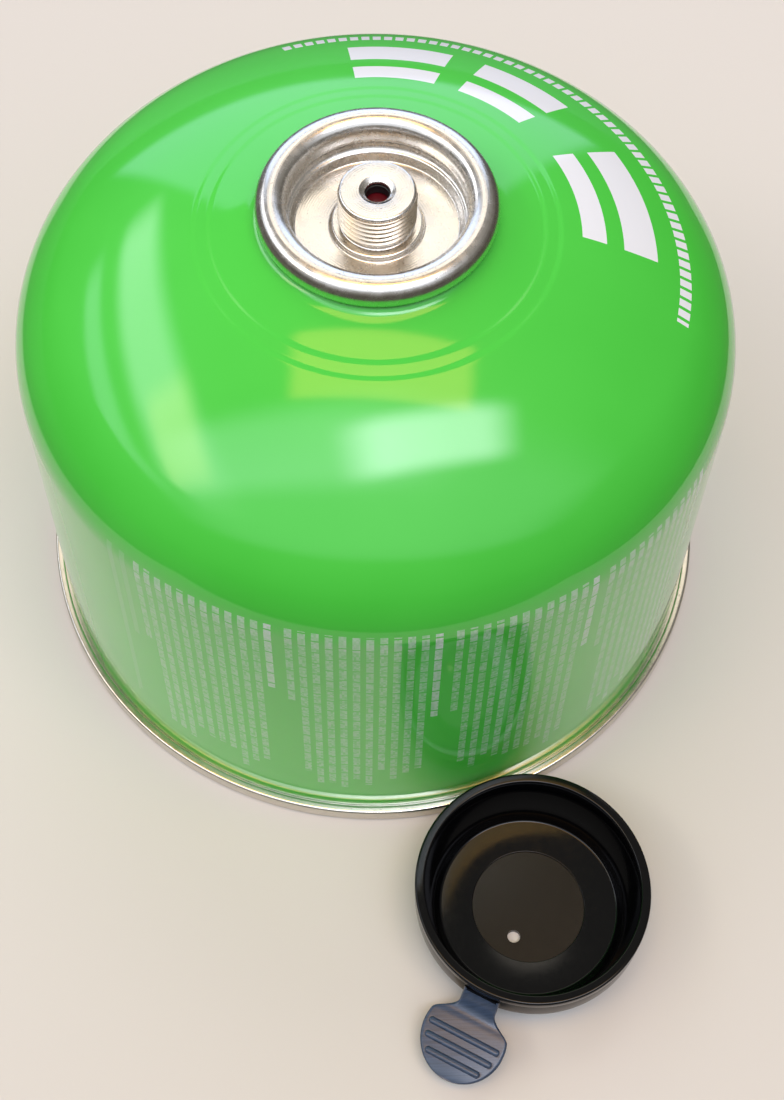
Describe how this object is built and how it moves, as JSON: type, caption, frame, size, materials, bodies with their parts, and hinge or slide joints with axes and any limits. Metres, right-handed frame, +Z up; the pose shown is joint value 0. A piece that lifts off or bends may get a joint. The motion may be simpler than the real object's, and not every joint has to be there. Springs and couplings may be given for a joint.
{
  "type": "gas fuel canister",
  "caption": "Squat domed gas canister with a bare metal valve cup, threaded neck and sprung valve, standing beside its pull-tab cap.",
  "frame": {"origin": "middle of the footprint of the canister and its cap, on the surface they stand on", "axes": "+Z up along the canister's axis, +Y from the cap towards the canister, +X to the right as seen from the cap's side"},
  "size_m": [0.1114, 0.153, 0.0915],
  "materials": {
    "green_lacquer": "high gloss lacquer over tinplate, with print",
    "tinplate": "bright rolled tinplate",
    "cup_tinplate": "bright drawn tinplate",
    "black_rubber": "moulded",
    "pale_plastic": "moulded",
    "red_plastic": "moulded",
    "spring_steel": "drawn wire",
    "black_plastic": "moulded, lightly scuffed"
  },
  "bodies": {
    "canister": {"can_body": "green_lacquer", "base_end": "tinplate", "valve_cup": "cup_tinplate", "cup_gasket": "black_rubber", "neck_gasket": "black_rubber", "valve_housing": "pale_plastic", "valve_spring": "spring_steel", "cap": "black_plastic"},
    "stem": {"valve_stem": "red_plastic"}
  },
  "joints": [
    {"name": "stem_push", "type": "slide", "parent": "canister", "child": "stem", "axis": [0, 0, -1], "range_m": [0, 0.0018], "stiffness_N_per_m": 1500, "springref_m": -0.003, "deforming": ["valve_spring"]}
  ]
}
